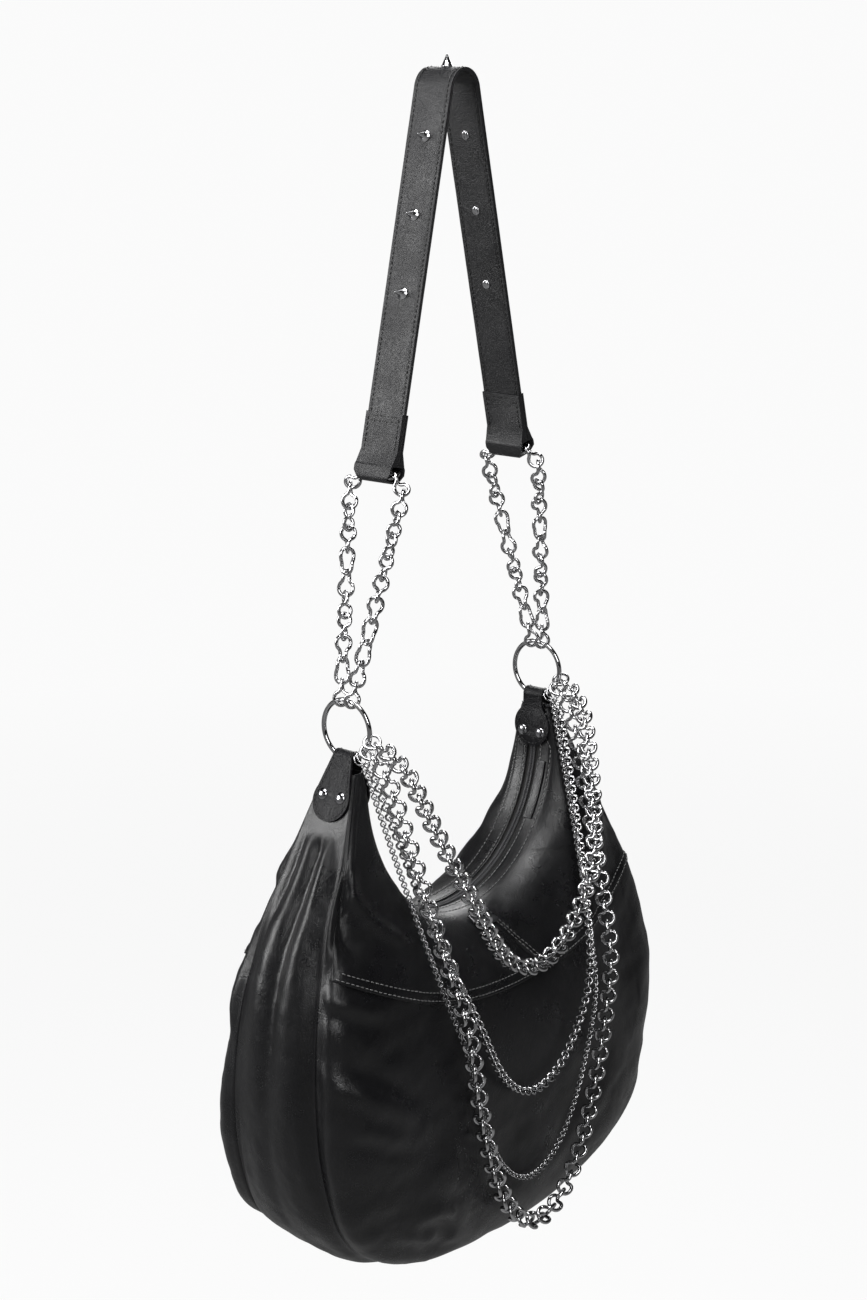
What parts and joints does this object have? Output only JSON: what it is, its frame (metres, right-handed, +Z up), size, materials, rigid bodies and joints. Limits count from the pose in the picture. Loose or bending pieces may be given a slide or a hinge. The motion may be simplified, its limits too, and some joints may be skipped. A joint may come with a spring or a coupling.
{
  "type": "chain shoulder bag",
  "caption": "Slouchy black faux-leather shoulder bag with a studded strap on chain legs, O-rings, a curved zip and draped front chains, hanging from its strap.",
  "frame": {"origin": "underside of the strap's crown, where a hand, shoulder or hook carries the bag", "axes": "+Z up, X along the bag's length, front face towards -Y"},
  "size_m": [0.45, 0.2066, 1.0016],
  "materials": {
    "strap_leather": "soft grained black faux leather, satin",
    "bag_leather": "soft grained black faux leather, satin",
    "tab_leather": "grained black faux leather with painted edges",
    "trim_leather": "black faux leather strip",
    "lining_cloth": "plain woven lining",
    "zip_tape": "woven black zip tape",
    "zip_coil": "black nylon coil",
    "zip_metal": "dark nickel",
    "badge_metal": "plain dark satin metal",
    "rivet_metal": "polished dark nickel",
    "spike_chrome": "polished nickel",
    "ring_chrome": "polished nickel",
    "chain_chrome": "polished nickel"
  },
  "bodies": {
    "strap": {"strap_outer_ply": "strap_leather", "strap_inner_ply": "strap_leather", "left_end_loop": "strap_leather", "right_end_loop": "strap_leather", "strap_spikes": "spike_chrome", "spike_screws": "spike_chrome"},
    "left_chain": {"left_strap_chain": "chain_chrome"},
    "right_chain": {"right_strap_chain": "chain_chrome"},
    "left_o_ring": {"left_ring": "ring_chrome"},
    "right_o_ring": {"right_ring": "ring_chrome"},
    "bag": {"left_ring_tab": "tab_leather", "right_ring_tab": "tab_leather", "left_tab_rivets": "rivet_metal", "right_tab_rivets": "rivet_metal", "front_panel": "bag_leather", "back_panel": "bag_leather", "front_yoke_left": "bag_leather", "front_yoke_right": "bag_leather", "back_yoke_left": "bag_leather", "back_yoke_right": "bag_leather", "left_gusset": "bag_leather", "right_gusset": "bag_leather", "base_gusset": "bag_leather", "lining": "lining_cloth", "zip_tape_front": "zip_tape", "zip_tape_back": "zip_tape", "zip_coil_front": "zip_coil", "zip_coil_back": "zip_coil", "zip_end_stops": "zip_metal", "left_ear_strip": "trim_leather", "right_ear_strip": "trim_leather", "badge_plate": "badge_metal"},
    "slider": {"zip_slider": "zip_metal"},
    "puller": {"zip_puller": "zip_metal"},
    "fine_drape": {"drape_fine": "chain_chrome", "jump_rings_fine": "chain_chrome"},
    "medium_drape": {"drape_medium": "chain_chrome", "jump_rings_medium": "chain_chrome"},
    "long_drape": {"drape_long": "chain_chrome", "jump_rings_long": "chain_chrome"},
    "heavy_drape": {"drape_heavy": "chain_chrome", "jump_rings_heavy": "chain_chrome"}
  },
  "joints": [
    {"name": "left_chain_sway", "type": "hinge", "parent": "strap", "child": "left_chain", "pos_m": [-0.08482, 0, -0.30899], "axis": [0, 1, 0], "range_deg": [-6, 6]},
    {"name": "right_chain_sway", "type": "hinge", "parent": "strap", "child": "right_chain", "pos_m": [0.08482, 0, -0.30899], "axis": [0, 1, 0], "range_deg": [-6, 6]},
    {"name": "left_ring_sway", "type": "hinge", "parent": "left_chain", "child": "left_o_ring", "pos_m": [-0.126, 0, -0.48815], "axis": [0, 1, 0], "range_deg": [-4.04, 4.04]},
    {"name": "right_ring_sway", "type": "hinge", "parent": "right_chain", "child": "right_o_ring", "pos_m": [0.126, 0, -0.48815], "axis": [0, 1, 0], "range_deg": [-4.04, 4.04]},
    {"name": "bag_swing", "type": "hinge", "parent": "left_o_ring", "child": "bag", "pos_m": [-0.126, 0, -0.512], "axis": [1, 0, 0], "range_deg": [-15, 15]},
    {"name": "zip_slide", "type": "hinge", "parent": "bag", "child": "slider", "pos_m": [0, 0, -0.572], "axis": [0, -1, 0], "range_deg": [0, 155]},
    {"name": "zip_pull", "type": "hinge", "parent": "slider", "child": "puller", "pos_m": [-0.11684, 0, -0.59051], "axis": [0, -1, 0], "range_deg": [0, 100]},
    {"name": "fine_drape_swing", "type": "hinge", "parent": "bag", "child": "fine_drape", "pos_m": [0, 0, -0.512], "axis": [-1, 0, 0], "range_deg": [0, 8]},
    {"name": "medium_drape_swing", "type": "hinge", "parent": "fine_drape", "child": "medium_drape", "pos_m": [0, 0, -0.512], "axis": [-1, 0, 0], "range_deg": [0, 8]},
    {"name": "long_drape_swing", "type": "hinge", "parent": "medium_drape", "child": "long_drape", "pos_m": [0, 0, -0.512], "axis": [-1, 0, 0], "range_deg": [0, 8]},
    {"name": "heavy_drape_swing", "type": "hinge", "parent": "long_drape", "child": "heavy_drape", "pos_m": [0, 0, -0.512], "axis": [-1, 0, 0], "range_deg": [0, 10]}
  ],
  "couplings": [
    {"joint": "right_chain_sway", "follows": "left_chain_sway", "ratio": 1},
    {"joint": "left_ring_sway", "follows": "left_chain_sway", "ratio": -0.67315},
    {"joint": "right_ring_sway", "follows": "left_chain_sway", "ratio": -0.67315}
  ]
}
